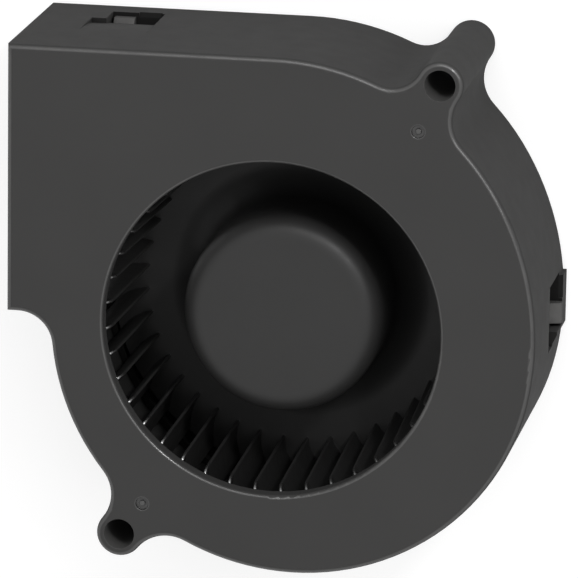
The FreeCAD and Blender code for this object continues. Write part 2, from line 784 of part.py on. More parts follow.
def shields(low):
    """Two thin washers fixed in the outer race, clear of the inner one."""
    outer = BEARING_R - RACE_T
    inner = SHAFT_R + RACE_T + SHIELD_GAP
    high = low + BEARING_W
    lower = ring(outer, inner, low + SHIELD_INSET, low + SHIELD_INSET + SHIELD_T)
    upper = ring(outer, inner, high - SHIELD_INSET - SHIELD_T, high - SHIELD_INSET)
    return Part.makeCompound([lower, upper])


def ball_centres(low):
    middle = low + BEARING_W / 2.0
    step = 2.0 * math.pi / BALL_COUNT
    return [on_circle((0.0, 0.0), BALL_CIRCLE_R, i * step, middle) for i in range(BALL_COUNT)]


def balls(low):
    return Part.makeCompound([Part.makeSphere(BALL_R, centre) for centre in ball_centres(low)])


def ball_cage(low):
    """Crown cage: a ring under the balls, bored towards the axis at each one."""
    middle = low + BEARING_W / 2.0
    floor = middle - BALL_R - CAGE_GAP - CAGE_T
    half = CAGE_W / 2.0
    cage = ring(BALL_CIRCLE_R + half, BALL_CIRCLE_R - half, floor, floor + CAGE_H)
    for centre in ball_centres(low):
        outward = vec(centre.x, centre.y).normalize()
        start = centre - outward * CAGE_W
        cage = cage.cut(Part.makeCylinder(BALL_R + CAGE_GAP, 2.0 * CAGE_W, start, outward))
    return cage


def bearing_tube():
    step_r = BEARING_R - TUBE_STEP
    step_low = BEARING_LOW + BEARING_W
    return revolved([
        (TUBE_R, TUBE_LOW),
        (TUBE_R, TUBE_TOP),
        (BEARING_R, TUBE_TOP),
        (BEARING_R, BEARING_HIGH),
        (step_r, BEARING_HIGH),
        (step_r, step_low),
        (BEARING_R, step_low),
        (BEARING_R, TUBE_LOW),
    ])


# Stator
def pole_angles():
    return [POLE_PITCH_DEG * i for i in range(POLE_COUNT)]


def pole_star(rim_r, low, high):
    """Hub ring with one arm and one curved shoe for each pole."""
    shoe_r = CORE_R - SHOE_T
    half_w = POLE_W / 2.0
    half_arc = math.radians(SHOE_ARC_DEG / 2.0)
    reach = 2.0 * CORE_R
    hub = cylinder(CORE_HUB_R, low, high)
    sector = polygon([
        (0.0, 0.0),
        (reach * math.cos(half_arc), -reach * math.sin(half_arc)),
        (reach * math.cos(half_arc), reach * math.sin(half_arc)),
    ])
    shoe = ring(rim_r, shoe_r, low, high).common(slab(sector, low, high))
    arm = block(TUBE_R, CORE_R - SHOE_T / 2.0, -half_w, half_w, low, high)
    one = arm.fuse(shoe)
    star = fused([hub] + [turned(one, angle) for angle in pole_angles()])
    return star.cut(cylinder(TUBE_R, low, high))


def stator_core():
    return pole_star(CORE_R, CORE_LOW, CORE_TOP)


def front_insulator():
    return pole_star(CORE_R - INSULATOR_STEP, CORE_TOP, CORE_TOP + INSULATOR_T)


def pin_places():
    angles = [POLE_PITCH_DEG * (i + 0.5) for i in range(PIN_COUNT)]
    return [on_circle((0.0, 0.0), PIN_CIRCLE_R, math.radians(angle)) for angle in angles]


def pins(extra=0.0):
    """Winding pins from the rear insulator down through the board."""
    low = BOARD_LOW - PIN_TAIL
    high = CORE_LOW - PIN_SEAT
    return [cylinder(PIN_R + extra, low, high, (p.x, p.y)) for p in pin_places()]


def rear_insulator():
    """Insulator with a lug between the poles for each winding pin."""
    low = CORE_LOW - INSULATOR_T
    half = INSULATOR_LUG_W / 2.0
    star = pole_star(CORE_R - INSULATOR_STEP, low, CORE_LOW)
    lug = block(TUBE_R + CORE_HUB_WALL / 2.0, INSULATOR_LUG_R, -half, half, low, CORE_LOW)
    for place in pin_places():
        star = star.fuse(turned(lug, math.degrees(math.atan2(place.y, place.x))))
    for pin in pins():
        star = star.cut(pin)
    return star.removeSplitter()


def coil():
    """Winding round one pole, a rounded rectangle drawn along +X."""
    side = POLE_W / 2.0 + COIL_GAP
    low = CORE_LOW - INSULATOR_T - COIL_GAP
    high = CORE_TOP + INSULATOR_T + COIL_GAP
    x_low = CORE_HUB_R + COIL_CLEAR
    half = side + COIL_T
    x_high = math.sqrt((CORE_R - SHOE_T) ** 2 - half ** 2) - COIL_CLEAR
    outer = block(x_low, x_high, -half, half, low - COIL_T, high + COIL_T)
    corners = []
    for edge in outer.Edges:
        box = edge.BoundBox
        if box.YLength < SAME and box.ZLength < SAME:
            corners.append(edge)
    outer = outer.makeFillet(COIL_CORNER_R, corners)
    return outer.cut(block(x_low, x_high, -side, side, low, high))


# Drive board
def on_board(size, radius, degrees, low):
    """Box of (tangential, radial, height) size on the board, at a radius and an angle."""
    along, across, height = size
    part = block(
        radius - across / 2.0, radius + across / 2.0, -along / 2.0, along / 2.0, low, low + height
    )
    return turned(part, degrees)


def drive_board():
    board = ring(BOARD_R, TUBE_R + BOARD_HOLE_GAP, BOARD_LOW, BOARD_TOP)
    for pin in pins(COIL_GAP):
        board = board.cut(pin)
    return board


def under_board(size, degrees):
    return on_board(size, PART_CIRCLE_R, degrees, BOARD_LOW - size[2])


def resistors():
    angles = [RESISTOR_STEP_DEG * i for i in range(RESISTOR_COUNT)]
    return Part.makeCompound([under_board(RESISTOR_SIZE, angle) for angle in angles])


def main():
    os.makedirs("parts", exist_ok=True)
    export(front_housing(), "front_housing")
    export(rear_housing(), "rear_housing")
    export(impeller(), "impeller")
    export(rotor_yoke(), "rotor_yoke")
    export(magnet_ring(), "magnet_ring")
    export(shaft_bush(), "shaft_bush")
    export(shaft(), "shaft")
    export(retaining_ring(), "retaining_ring")
    export(preload_spring(), "preload_spring")
    for name, low in (("lower", BEARING_LOW), ("upper", BEARING_HIGH)):
        export(inner_race(low), name + "_inner_race")
        export(outer_race(low), name + "_outer_race")
        export(shields(low), name + "_bearing_shields")
        export(balls(low), name + "_bearing_balls")
        export(ball_cage(low), name + "_ball_cage")
    export(bearing_tube(), "bearing_tube")
    export(stator_core(), "stator_core")
    export(front_insulator(), "front_insulator")
    export(rear_insulator(), "rear_insulator")
    winding = coil()
    for number, angle in enumerate(pole_angles(), 1):
        export(turned(winding, angle), "coil_%d" % number)
    export(Part.makeCompound(pins()), "winding_pins")
    export(drive_board(), "drive_board")
    export(on_board(HALL_SIZE, HALL_R, -POLE_PITCH_DEG / 2.0, BOARD_TOP), "hall_sensor")
    export(under_board(CHIP_SIZE, CHIP_ANGLE_DEG), "driver_chip")
    export(under_board(CAPACITOR_SIZE, CAPACITOR_ANGLE_DEG), "capacitor")
    export(resistors(), "resistors")


main()
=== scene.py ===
# %% [markdown]
# # Dressing a small scroll blower
#
# This notebook takes a finished mechanical model of a 75 mm DC blower and gives it its looks.
# The shapes that matter for strength, fit and motion come in as a fixed frame: nothing here moves
# or resizes them. What is left is what the eye reads: how black glass-filled plastic takes light,
# where handling has polished an edge, how a blade thins towards its nose.
#
# Everything is in metres. The blower lies on its rear face at z = 0 with the rotor's axis on Z.

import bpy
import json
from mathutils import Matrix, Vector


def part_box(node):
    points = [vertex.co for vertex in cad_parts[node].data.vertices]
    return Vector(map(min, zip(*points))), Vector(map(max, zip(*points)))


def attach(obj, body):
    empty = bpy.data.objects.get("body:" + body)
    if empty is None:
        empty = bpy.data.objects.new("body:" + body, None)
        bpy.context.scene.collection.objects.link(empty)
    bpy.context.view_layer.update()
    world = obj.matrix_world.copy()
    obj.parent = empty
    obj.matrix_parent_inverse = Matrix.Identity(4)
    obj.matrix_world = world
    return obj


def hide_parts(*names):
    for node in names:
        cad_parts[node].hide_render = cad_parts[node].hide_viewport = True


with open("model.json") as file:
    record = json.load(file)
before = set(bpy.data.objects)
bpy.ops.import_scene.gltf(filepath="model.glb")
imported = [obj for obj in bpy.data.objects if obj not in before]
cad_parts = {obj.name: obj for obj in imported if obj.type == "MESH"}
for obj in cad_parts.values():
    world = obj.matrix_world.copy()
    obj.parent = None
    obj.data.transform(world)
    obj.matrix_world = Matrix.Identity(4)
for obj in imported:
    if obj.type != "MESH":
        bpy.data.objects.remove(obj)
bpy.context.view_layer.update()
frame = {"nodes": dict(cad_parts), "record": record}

# %% [markdown]
# ## Measuring instead of typing
#
# Sizes could be copied from the drawing, but a copy goes stale when the drawing changes. So the
# main sizes that the looks need are read from the boxes of the nodes: the inlet face's height and
# the wheel's radius and top. `MM` turns a real millimetre into a Blender metre.

# %% Read a few sizes from the frame
import math
import bpy
import bmesh
from mathutils import Euler, Vector

MM = 0.001


def node_low(node):
    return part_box(node)[0]


def node_high(node):
    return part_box(node)[1]


depth = node_high("front_housing").z
wheel_radius = node_high("impeller").x
wheel_top = node_high("impeller").z
print("depth %.1f mm, wheel radius %.1f mm" % (depth / MM, wheel_radius / MM))

# %% [markdown]
# ## The camera
#
# The photograph was taken from far away with a long lens, so near and far parts have almost the
# same scale. A short lens close by would frame it too, but then the side walls would splay. The
# camera looks at a point on the inlet face from 0.84 m, tipped so that the top and right walls
# show. The lens follows from the picture's scale: 6000 pixels of focal length over a picture 578
# pixels wide, on Blender's usual 36 mm sensor.

# %% Place the camera
PICTURE_WIDTH_PX = 578
FOCAL_PX = 6000.0
SENSOR_WIDTH = 36.0
VIEW_DISTANCE = 836.0 * MM
VIEW_CENTRE = Vector((2.56 * MM, 6.16 * MM, depth))
CAMERA_TURN = Euler([math.radians(a) for a in (-14.226, 10.416, 0.833)])


def add_camera():
    data = bpy.data.cameras.new("camera")
    data.sensor_width = SENSOR_WIDTH
    data.lens = FOCAL_PX * SENSOR_WIDTH / PICTURE_WIDTH_PX
    data.clip_end = 10.0
    camera = bpy.data.objects.new("camera", data)
    camera.rotation_euler = CAMERA_TURN
    backwards = CAMERA_TURN.to_matrix() @ Vector((0, 0, 1))
    camera.location = VIEW_CENTRE + VIEW_DISTANCE * backwards
    bpy.context.scene.collection.objects.link(camera)
    bpy.context.scene.camera = camera
    return camera


camera = add_camera()
print("lens %.1f mm, camera at" % camera.data.lens, [round(v, 4) for v in camera.location])

# %% [markdown]
# ## A short way to write materials
#
# Every finish below is a small graph of nodes. Building each by hand takes many lines, so a
# helper makes a node, sets its sockets and links what is passed in as a socket. A number stays a
# number on the socket; only what really varies over the surface is linked.

# %% A helper for node graphs
class Finish:
    """A material with short ways to add nodes. Texture space is the part's own metres."""

    def __init__(self, name):
        self.material = bpy.data.materials.new(name)
        self.material.use_nodes = True
        self.tree = self.material.node_tree
        self.tree.nodes.clear()
        self.space = self.add("ShaderNodeTexCoord").outputs["Object"]

    def add(self, kind, settings=(), **sockets):
        node = self.tree.nodes.new(kind)
        for key, value in dict(settings).items():
            setattr(node, key, value)
        for key, value in sockets.items():
            self.put(node.inputs[key.replace("_", " ")], value)
        return node

    def put(self, socket, value):
        if isinstance(value, bpy.types.NodeSocket):
            self.tree.links.new(value, socket)
        else:
            socket.default_value = value

    def in_plan(self):
        """Texture space looked at from above: the height is dropped."""
        flat = self.add("ShaderNodeVectorMath", {"operation": "MULTIPLY"}, Vector=self.space)
        flat.inputs[1].default_value = (1.0, 1.0, 0.0)
        return flat.outputs[0]

    def noise(self, size, detail=2.0, rough=0.5):
        """Cloudy noise whose blobs are about size metres across."""
        node = self.add(
            "ShaderNodeTexNoise", Vector=self.space, Scale=1.0 / size, Detail=detail, Roughness=rough
        )
        return node.outputs["Fac"]

    def between(self, value, low, high, to_low=0.0, to_high=1.0):
        """Maps value from low..high to to_low..to_high, and holds it there outside."""
        ends = {"From_Min": low, "From_Max": high, "To_Min": to_low, "To_Max": to_high}
        return self.add("ShaderNodeMapRange", Value=value, **ends).outputs["Result"]

    def mix(self, share, first, second):
        """Colour that goes from first to second as share goes from 0 to 1."""
        node = self.add("ShaderNodeMix", {"data_type": "RGBA"})
        self.put(node.inputs[0], share)
        self.put(node.inputs[6], first)
        self.put(node.inputs[7], second)
        return node.outputs[2]

    def maths(self, operation, first, second):
        node = self.add("ShaderNodeMath", {"operation": operation, "use_clamp": True})
        self.put(node.inputs[0], first)
        self.put(node.inputs[1], second)
        return node.outputs[0]

    def both(self, first, second):
        """Mask that is 1 where both masks are 1."""
        return self.maths("MULTIPLY", first, second)

    def bump(self, height, depth, strength, **sockets):
        """Normal that is tilted as if the height map stood depth metres tall."""
        node = self.add("ShaderNodeBump", Height=height, Distance=depth, Strength=strength, **sockets)
        return node.outputs["Normal"]

    def surface(self, **sockets):
        """Principled surface. Socket names are written with _ for a space."""
        shader = self.add("ShaderNodeBsdfPrincipled", **sockets)
        output = self.add("ShaderNodeOutputMaterial")
        self.tree.links.new(shader.outputs["BSDF"], output.inputs["Surface"])
        return self.material


def grey(level):
    return (level, level, level, 1.0)


print("helper ready")

# %% [markdown]
# ## Edges
#
# A moulded edge is never as sharp as a computed one. It has a small radius, it is where a part is
# handled, and it catches light that the flat face beside it doesn't. The radii that are large
# enough to see are modelled. For the rest a Bevel node rounds the normal near each edge.
#
# Masks then say where the skin differs and where light or shade is painted. They could be painted by
# hand, but a painted mask doesn't follow a changed size. Here the height and the lean of the surface
# pick out the rounds at the front face, the distance from a place picks out a screw hole or a gate
# scar, and ambient occlusion finds the slots that light hardly reaches, where shade is painted into
# the colour.

# %% Find rounds, places and slots
PLACE_EDGE = 0.02 * MM


def rounded_normal(finish, radius):
    return finish.add("ShaderNodeBevel", {"samples": 4}, Radius=radius).outputs["Normal"]


def height_and_lean(finish):
    """Height above the floor, and how far the surface faces up (1) or sideways (0)."""
    normal = finish.add("ShaderNodeNewGeometry").outputs["Normal"]
    height = finish.add("ShaderNodeSeparateXYZ", Vector=finish.space).outputs["Z"]
    return height, finish.add("ShaderNodeSeparateXYZ", Vector=normal).outputs["Z"]


def front_round(finish, radius):
    """1 on the rounds between the front face and the walls that stand on it, 0 elsewhere."""
    height, lean = height_and_lean(finish)
    near_front = finish.between(height, depth - 1.2 * radius, depth - radius)
    facing_up = finish.both(finish.between(lean, 0.98, 0.93), finish.between(lean, 0.55, 0.75))
    return finish.both(near_front, facing_up)


def near_places(finish, places, reach):
    """1 within reach metres of any of the places (x, y), looked at from above, 0 elsewhere."""
    flat = finish.in_plan()
    nearest = 1.0
    for x, y in places:
        away = finish.add("ShaderNodeVectorMath", {"operation": "DISTANCE"})
        finish.put(away.inputs[0], flat)
        away.inputs[1].default_value = (x, y, 0.0)
        nearest = finish.maths("MINIMUM", away.outputs["Value"], nearest)
    return finish.between(nearest, reach + PLACE_EDGE, reach)


def slot_shade_mask(finish, reach):
    """For painted shade: 1 on open surface, falling towards 0 deep in slots and corners about reach
    metres wide.
    """
    shade = finish.add("ShaderNodeAmbientOcclusion", {"samples": 8}, Distance=reach)
    return finish.between(shade.outputs["AO"], 0.1, 0.55)


print("edge helpers ready")

# %% [markdown]
# ## Housing plastic
#
# The housing is moulded in black PBT filled with glass fibre. Close up it is not black: it is a
# very dark warm grey, nearly matt, with a fine spark-eroded grain from the mould, faint cloudy
# changes of gloss where the melt flowed, and smoother rounds. One flat dark colour would look like
# a hole in the picture. Here the colour drifts a little with a large noise, the gloss drifts with a
# medium one, and the grain is a fine bump. The rounds and the gate scars get a clear coat, because
# they are polished and draw a pale line under a lamp; the rounds also get paler patches in their
# colour, a painted highlight. Shade is painted into the colour: slots, and the low faces that look
# up, are darkened towards near black. The walls of the screw holes are painted paler, partly as
# rubbing and partly as painted light. The rear cover has a finish of its own, in which its snap
# hooks are painted paler in patches: a painted highlight.

# %% Colours and places on the housing
HOUSING_FLOW = 14 * MM
HOUSING_PATCH = 3 * MM
HOUSING_GRAIN = 0.16 * MM
HOUSING_DARK = (0.0450, 0.0446, 0.0442, 1.0)
HOUSING_PALE = (0.0500, 0.0495, 0.0490, 1.0)
# Painted shade and painted light: near black for shade, paler greys for the screw holes, the hooks and
# the rounds.
PAINTED_SHADE_BLACK = (0.012, 0.0118, 0.0116, 1.0)
SCREW_HOLE_RUB_AND_LIGHT = (0.08, 0.079, 0.078, 1.0)
HOOK_PAINTED_HIGHLIGHT = (0.13, 0.128, 0.126, 1.0)
EDGE_HIGHLIGHT_PAINT = (0.10, 0.098, 0.095, 1.0)
EDGE_ROUND = 0.8 * MM
SOFT_EDGE = 0.25 * MM
SLOT_REACH = 2.5 * MM
EAR_HOLES = ((23.2 * MM, 36.2 * MM), (-21.4 * MM, -31.1 * MM))
EAR_HOLE_RADIUS = 2.2 * MM
GATE_WELLS = ((20.31 * MM, 29.59 * MM), (-18.1 * MM, -26.4 * MM))
GATE_WELL_RADIUS = 0.95 * MM
HOOK_LOW = 4.5 * MM
print("ear holes:", len(EAR_HOLES), "gate wells:", len(GATE_WELLS))


# %% Make the housing plastic
def housing_colour(f, patch, polished, hook_highlight):
    """Flowing dark grey, with painted shade in slots and on low faces that look up, paler screw holes
    (rubbing and painted light), and painted highlights on hooks and rounds.
    """
    height, lean = height_and_lean(f)
    colour = f.mix(f.noise(HOUSING_FLOW, detail=3.0), HOUSING_DARK, HOUSING_PALE)
    # Painted shade: faces that look up in the lowest third of the housing are darkened towards near
    # black.
    low_face_shade = f.both(f.between(lean, 0.3, 0.6), f.between(height, 0.35 * depth, 0.3 * depth))
    colour = f.mix(low_face_shade, colour, PAINTED_SHADE_BLACK)
    # Painted shade: slots and corners that ambient occlusion finds are darkened towards near black.
    colour = f.mix(slot_shade_mask(f, SLOT_REACH), PAINTED_SHADE_BLACK, colour)
    # Screw hole walls painted paler: partly rubbing by the screws, partly painted light in the holes.
    colour = f.mix(near_places(f, EAR_HOLES, EAR_HOLE_RADIUS + 0.03 * MM), colour, SCREW_HOLE_RUB_AND_LIGHT)
    if hook_highlight:
        # Painted highlight: the rear cover's hooks above their catch are made paler in patches.
        hooks = f.both(f.between(height, HOOK_LOW, HOOK_LOW + 0.2 * MM), f.between(lean, -0.3, 0.4))
        colour = f.mix(f.both(hooks, f.between(patch, 0.2, 0.8, 0.6, 1.0)), colour, HOOK_PAINTED_HIGHLIGHT)
    # Painted highlight: patches of paler colour on the front rounds.
    edge_highlight = f.both(polished, f.between(patch, 0.35, 0.65, 0.0, 0.25))
    return f.mix(edge_highlight, colour, EDGE_HIGHLIGHT_PAINT)


def housing_plastic(name="housing_plastic", hook_highlight=False):
    f = Finish(name)
    patch = f.noise(HOUSING_PATCH, detail=4.0, rough=0.6)
    grain = f.noise(HOUSING_GRAIN, detail=2.0)
    polished = front_round(f, EDGE_ROUND)
    height = height_and_lean(f)[0]
    scars = near_places(f, GATE_WELLS, GATE_WELL_RADIUS + 0.1 * MM)
    scars = f.both(scars, f.between(height, 0.9 * depth, depth))
    rounded = rounded_normal(f, SOFT_EDGE)
    return f.surface(
        Base_Color=housing_colour(f, patch, polished, hook_highlight),
        Roughness=f.between(patch, 0.3, 0.7, 0.62, 0.68),
        Normal=f.bump(grain, 0.012 * MM, 0.6, Normal=rounded),
        Specular_IOR_Level=0.03,
        Coat_Weight=f.maths("MAXIMUM", polished, scars),
        Coat_Roughness=0.2,
        Coat_IOR=1.6,
        Coat_Normal=rounded,
    )


print("housing plastic made")

# %% [markdown]
# ## Impeller plastic
#
# The wheel is moulded in a similar black plastic but from a smoother tool, so it has more gloss:
# a lamp draws a soft crescent on the hub's shoulder. The blades' inner corners are the smoothest
# of all, and a clear coat there makes them spark. A glossy plastic could be had by a clear coat
# alone, but then the hub would shine like glass; a rougher base and a coat at the corners do both.

# %% Make the impeller plastic
WHEEL_FLOW = 9 * MM
WHEEL_PATCH = 2.2 * MM
WHEEL_GRAIN = 0.22 * MM
WHEEL_DARK = (0.0200, 0.0198, 0.0196, 1.0)
WHEEL_PALE = (0.0240, 0.0238, 0.0236, 1.0)
WHEEL_SOFT_EDGE = 0.2 * MM
BLADES_FROM = 0.8 * wheel_radius
CORNER_FROM = wheel_top - 2.1 * MM


def impeller_plastic():
    f = Finish("impeller_plastic")
    patch = f.noise(WHEEL_PATCH, detail=4.0, rough=0.6)
    grain = f.noise(WHEEL_GRAIN, detail=3.0, rough=0.65)
    height = height_and_lean(f)[0]
    radius = f.add("ShaderNodeVectorMath", {"operation": "LENGTH"}, Vector=f.in_plan()).outputs["Value"]
    on_blades = f.between(radius, BLADES_FROM - 0.01 * wheel_radius, BLADES_FROM + 0.01 * wheel_radius)
    corner = f.between(height, CORNER_FROM - 0.5 * MM, CORNER_FROM + 0.5 * MM)
    rounded = rounded_normal(f, WHEEL_SOFT_EDGE)
    return f.surface(
        Base_Color=f.mix(f.noise(WHEEL_FLOW, detail=3.0), WHEEL_DARK, WHEEL_PALE),
        Roughness=f.between(patch, 0.3, 0.7, 0.42, 0.50),
        Normal=f.bump(grain, 0.016 * MM, 0.7, Normal=rounded),
        Specular_IOR_Level=0.35,
        Coat_Weight=f.both(on_blades, corner),
        Coat_Roughness=0.18,
        Coat_IOR=2.4,
    )


print("impeller plastic made")

# %% [markdown]
# ## Metals
#
# The yoke and the bearing shields are plated sheet, the shaft and the bearings are ground steel, the
# bush and the bearing tube are brass. What tells metals apart is their colour and their marks. Ground
# and turned parts have fine rings round the axis, which a wave texture in ring mode gives. Plated
# sheet has a blotchy bloom instead. Plain grey without marks would look like paint.

# %% Make the metals
def turned_metal(name, colour, rough, ring_size):
    """Metal with turning marks round the Z axis, about a third of ring_size apart."""
    f = Finish(name)
    rings = f.add(
        "ShaderNodeTexWave",
        {"wave_type": "RINGS", "rings_direction": "Z"},
        Vector=f.space,
        Scale=1.0 / ring_size,
        Distortion=1.5,
        Detail=2.0,
    ).outputs["Fac"]
    stain = f.noise(2.5 * MM, detail=4.0)
    tint = f.mix(f.between(stain, 0.3, 0.75), colour, [0.82 * c for c in colour[:3]] + [1.0])
    gloss = f.between(stain, 0.3, 0.7, rough, rough + 0.12)
    return f.surface(
        Base_Color=tint, Metallic=1.0, Roughness=gloss, Normal=f.bump(rings, 0.004 * MM, 0.5)
    )


def plated_steel():
    f = Finish("zinc_steel")
    bloom = f.noise(1.6 * MM, detail=5.0, rough=0.65)
    colour = f.mix(f.between(bloom, 0.35, 0.7), (0.58, 0.60, 0.62, 1.0), (0.42, 0.44, 0.47, 1.0))
    gloss = f.between(bloom, 0.3, 0.7, 0.28, 0.48)
    drawn = f.noise(0.3 * MM, detail=2.0)
    return f.surface(
        Base_Color=colour, Metallic=1.0, Roughness=gloss, Normal=f.bump(drawn, 0.006 * MM, 0.6)
    )


print("metals made")

# %% [markdown]
# ## Magnet, laminations and windings
#
# The magnet is plastic-bonded ferrite: matt, dark brown-grey and faintly speckled. The stator is a
# stack of thin steel sheets, so its sides show horizontal lines. Cutting every sheet would cost many
# faces on a part that is hidden, so a saw-tooth bump stands for them, a few sheets to each step. The
# windings are enamelled copper, which is why they look orange-brown and glossy.

# %% Make the magnet, core and copper
STACK_RADIAN = 0.35 * MM  # bands repeat every 2 pi times this, 2.2 mm
WAVE_RADIANS = 20.0  # what Blender's wave texture runs through per metre at scale 1


def bonded_ferrite():
    f = Finish("magnet")
    specks = f.noise(0.25 * MM, detail=3.0, rough=0.7)
    colour = f.mix(f.between(specks, 0.45, 0.62), (0.032, 0.029, 0.027, 1.0), (0.075, 0.068, 0.06, 1.0))
    return f.surface(Base_Color=colour, Roughness=0.72, Normal=f.bump(specks, 0.02 * MM, 0.6))


def laminated_steel():
    f = Finish("core_steel")
    bands = f.add(
        "ShaderNodeTexWave",
        {"wave_type": "BANDS", "bands_direction": "Z", "wave_profile": "SAW"},
        Vector=f.space,
        Scale=1.0 / (STACK_RADIAN * WAVE_RADIANS),
        Distortion=0.0,
    ).outputs["Fac"]
    rust = f.noise(1.2 * MM, detail=5.0)
    colour = f.mix(f.between(rust, 0.55, 0.8), (0.30, 0.30, 0.31, 1.0), (0.20, 0.15, 0.12, 1.0))
    return f.surface(
        Base_Color=colour, Metallic=0.9, Roughness=0.42, Normal=f.bump(bands, 0.03 * MM, 0.8)
    )


def enamelled_copper():
    f = Finish("copper")
    tone = f.noise(0.9 * MM, detail=3.0)
    colour = f.mix(tone, (0.56, 0.20, 0.07, 1.0), (0.70, 0.29, 0.11, 1.0))
    gloss = f.between(tone, 0.3, 0.7, 0.22, 0.34)
    return f.surface(Base_Color=colour, Metallic=0.85, Roughness=gloss, Coat_Weight=0.6)


print("magnet, core and copper made")

# %% [markdown]
# ## Insulators, board and components
#
# Insulators are nylon, slightly see-through and warm white. The board is green solder mask over
# woven glass: the weave shows through as a faint square pattern. Chip and sensor are black moulded
# resin, the capacitor is tan ceramic and the resistors are black. One recipe with a fine speckle
# serves all three, in other colours.

# %% Make the insulators and the electronics
def nylon(name, colour, rough=0.5):
    f = Finish(name)
    cloud = f.noise(1.8 * MM, detail=3.0)
    darker = [0.88 * c for c in colour[:3]] + [1.0]
    grain = f.noise(0.12 * MM, detail=2.0)
    return f.surface(
        Base_Color=f.mix(cloud, colour, darker),
        Roughness=f.between(cloud, 0.3, 0.7, rough - 0.06, rough + 0.06),
        Subsurface_Weight=0.15,
        Subsurface_Scale=0.4 * MM,
        Normal=f.bump(grain, 0.006 * MM, 0.5),
    )


def solder_mask():
    f = Finish("board")
    weave = f.add("ShaderNodeTexChecker", Vector=f.space, Scale=1.0 / (0.5 * MM)).outputs["Fac"]
    cloud = f.noise(3 * MM, detail=3.0)
    colour = f.mix(cloud, (0.012, 0.10, 0.045, 1.0), (0.018, 0.14, 0.06, 1.0))
    return f.surface(
        Base_Color=colour, Roughness=0.32, Normal=f.bump(weave, 0.008 * MM, 0.3), Coat_Weight=0.3
    )


def moulded_block(name, dark, light, rough):
    """Moulding or ceramic with a fine speckle."""
    f = Finish(name)
    speck = f.noise(0.2 * MM, detail=3.0, rough=0.7)
    return f.surface(
        Base_Color=f.mix(f.between(speck, 0.4, 0.65), dark, light),
        Roughness=f.between(speck, 0.3, 0.7, rough - 0.08, rough + 0.08),
        Normal=f.bump(speck, 0.01 * MM, 0.5),
    )


print("insulators and electronics made")

# %% [markdown]
# ## Which node gets which finish
#
# The record gives each node a material slot. Working through that list puts every finish on its
# nodes in one place, and a slot that has no finish yet stops the run. The rear cover then gets its
# own variant, with a painted highlight on its hooks.

# %% Put the finishes on the nodes
BRASS = (0.78, 0.57, 0.27, 1.0)
GROUND_STEEL = (0.62, 0.62, 0.63, 1.0)
SPRING_STEEL = (0.40, 0.39, 0.38, 1.0)

finishes = {
    "housing_plastic": housing_plastic(),
    "impeller_plastic": impeller_plastic(),
    "zinc_steel": plated_steel(),
    "magnet": bonded_ferrite(),
    "brass": turned_metal("brass", BRASS, 0.3, 0.12 * MM),
    "shaft_steel": turned_metal("shaft_steel", GROUND_STEEL, 0.16, 0.08 * MM),
    "bearing_steel": turned_metal("bearing_steel", GROUND_STEEL, 0.2, 0.1 * MM),
    "spring_steel": turned_metal("spring_steel", SPRING_STEEL, 0.3, 0.1 * MM),
    "cage_nylon": nylon("cage_nylon", (0.62, 0.50, 0.33, 1.0)),
    "core_steel": laminated_steel(),
    "insulator_nylon": nylon("insulator_nylon", (0.74, 0.71, 0.63, 1.0)),
    "copper": enamelled_copper(),
    "pin_tin": turned_metal("pin_tin", (0.66, 0.65, 0.62, 1.0), 0.34, 0.1 * MM),
    "board": solder_mask(),
    "chip": moulded_block("chip", grey(0.022), grey(0.04), 0.55),
    "capacitor": moulded_block("capacitor", (0.42, 0.30, 0.18, 1.0), (0.5, 0.37, 0.24, 1.0), 0.4),
    "resistor": moulded_block("resistor", grey(0.015), grey(0.025), 0.35),
}

slot_of = {entry["node"]: entry["material_slot"] for entry in frame["record"]["subparts"]}
for name, node in frame["nodes"].items():
    node.data.materials.clear()
    node.data.materials.append(finishes[slot_of[name]])
# The rear cover's finish paints a highlight on its hooks.
frame["nodes"]["rear_housing"].data.materials[0] = housing_plastic("rear_cover_plastic", hook_highlight=True)
print("finished nodes:", len(frame["nodes"]))

# %% [markdown]
# ## The blade wheel's skin
#
# The mechanical wheel has blades of one thickness with square ends, which is enough to balance
# and collide with. A moulded blade thins towards the eye, its nose is round, and so is the corner
# that meets the incoming air: that corner is what sparkles on every blade. Rounding the edges with
# a Bevel modifier would soften them, but it can't thin the blade. So the wheel is drawn again in
# the same place and size. What its neighbours fix is measured from their nodes; the thicknesses and
# radii that no box shows are typed once, here.

# %% Measure the wheel
BLADE_COUNT = 41
BLADE_ARC = 7.0 * MM  # radius of the arc that a blade is bent along
BLADE_THICK = 0.8 * MM
BLADE_REACH = 5.4 * MM  # from the blade's foot to the rim, along a radius
BLADE_RAKE = 0.85 * MM  # how far the nose leans out over the blade's height
BLADE_CORNER = 1.8 * MM
NOSE_RADIUS = 0.22 * MM
THINNED_RUN = 3.5 * MM
PLATE_THICK = 1.0 * MM
TIP_RING_WIDTH = 0.9 * MM
TIP_RING_HEIGHT = 1.2 * MM
HUB_WALL = 1.25 * MM
HUB_FACE_THICK = 1.5 * MM
HUB_SHOULDER = 3.0 * MM
FLARE = 5.0 * MM
SINK = 0.1 * MM  # how far below the tip ring's outer faces the blades end
FOOT_SINK = 4.0 * SINK  # how far the blades run down into the plate

wheel_low = node_low("impeller").z
plate_top = wheel_low + PLATE_THICK
yoke_radius = node_high("rotor_yoke").x
yoke_top = node_high("rotor_yoke").z
hub_radius = yoke_radius + HUB_WALL
blade_foot = wheel_radius - BLADE_REACH
print("hub radius %.2f mm, wheel top %.2f mm" % (hub_radius / MM, wheel_top / MM))

# %% [markdown]
# ## From points to a mesh
#
# A bmesh is a mesh in the making: points, edges and faces are added one by one, and when it is done
# it becomes the mesh of an object in the scene. Its faces are shaded smooth, so that short flat ones
# read as one curve, except across edges that bend by more than 35 degrees, which stay crisp. Round
# forms are drawn as half a section and turned round the axis, as on a lathe. Blender's own cylinders
# could be stacked instead, but they have no flares.

